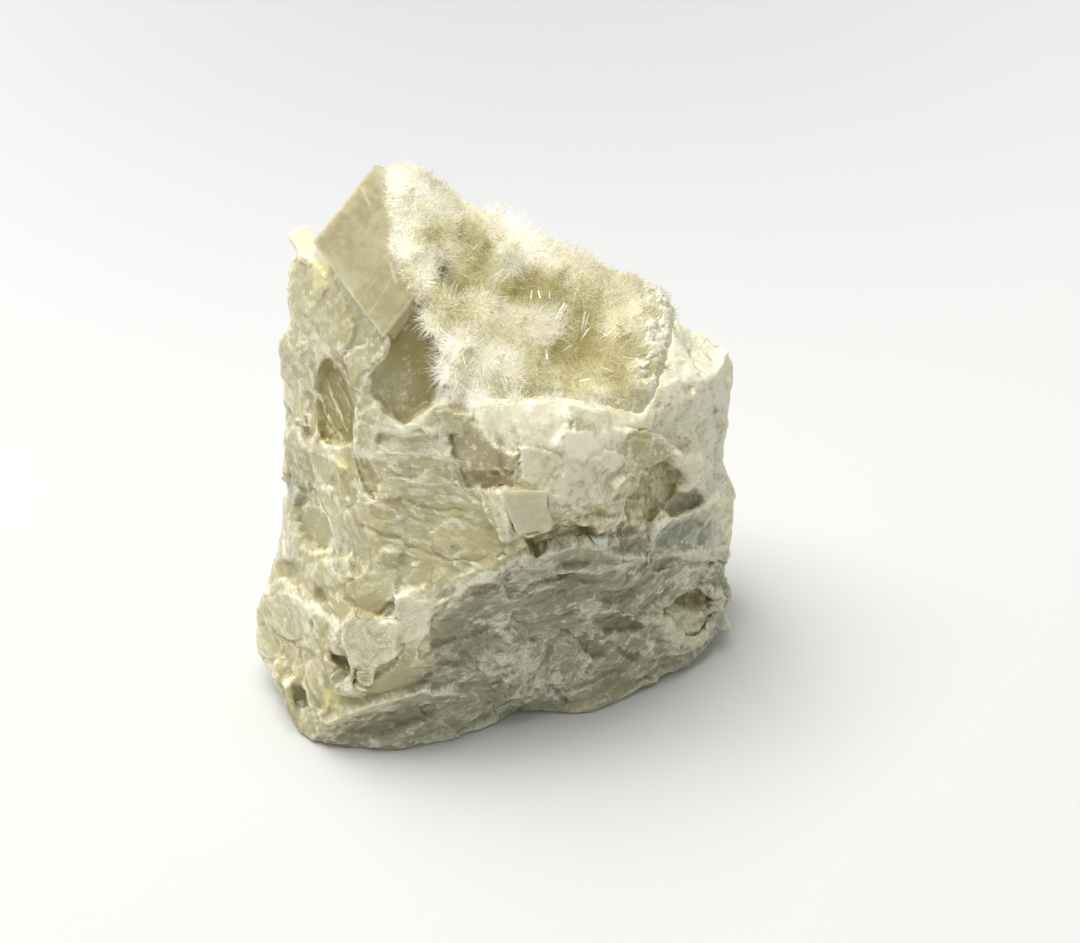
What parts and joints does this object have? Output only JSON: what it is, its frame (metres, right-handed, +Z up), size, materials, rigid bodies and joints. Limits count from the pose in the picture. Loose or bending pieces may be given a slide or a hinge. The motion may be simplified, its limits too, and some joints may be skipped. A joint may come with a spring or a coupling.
{
  "type": "aragonite specimen",
  "caption": "Hand specimen of blocky calcite rock whose upper bowl is lined with a crust of fine aragonite needles in radiating sprays.",
  "frame": {"origin": "middle of the footprint of the bounding box, on the surface that the specimen stands on", "axes": "+Z up, +X to the right and -Y towards a viewer who looks into the bowl of needles"},
  "size_m": [0.0754, 0.0632, 0.0854],
  "materials": {
    "calcite_rock": null,
    "aragonite_needles": null
  },
  "bodies": {
    "root": {"matrix": "calcite_rock", "aragonite_crust": "aragonite_needles"}
  },
  "joints": []
}
